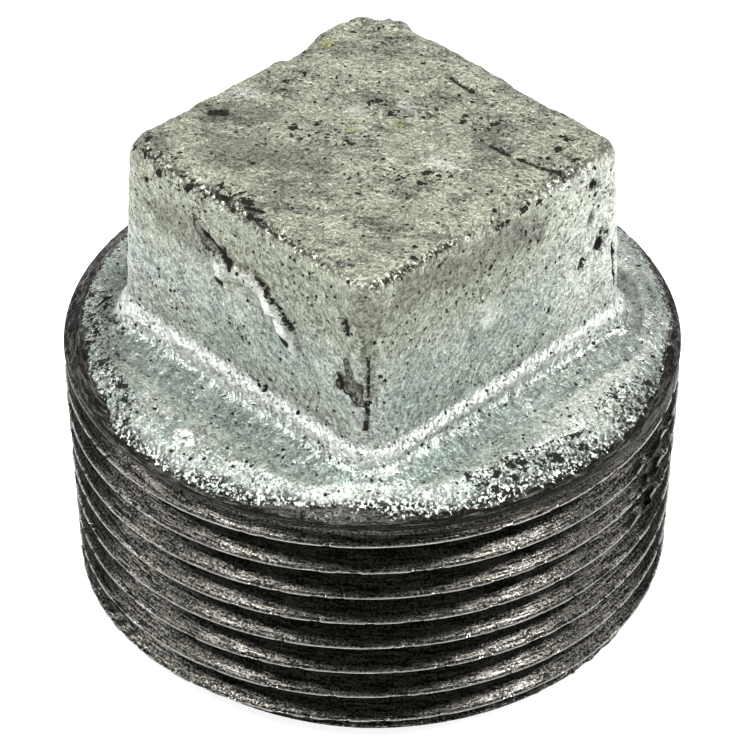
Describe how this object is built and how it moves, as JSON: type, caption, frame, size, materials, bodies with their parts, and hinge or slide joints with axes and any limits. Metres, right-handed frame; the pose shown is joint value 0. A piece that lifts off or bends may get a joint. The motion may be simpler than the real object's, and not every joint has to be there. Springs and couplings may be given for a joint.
{
  "type": "square head pipe plug",
  "caption": "Hollow cast-iron plug with a raised square wrench head and a male taper pipe thread, for closing a threaded pipe fitting.",
  "frame": {"origin": "centre of the threaded end face, on the thread's axis; the plug stands on this face", "axes": "+Z along the thread's axis from the end face to the square head; +X and +Y are the normals of two neighbouring wrench flats"},
  "size_m": [0.0418, 0.0418, 0.0343],
  "materials": {
    "galvanised_iron": "hot-dip galvanised malleable iron, cast texture with fine pits; the thread is cut through the zinc to dark oiled iron"
  },
  "bodies": {
    "root": {"plug_body": "galvanised_iron"}
  },
  "joints": []
}
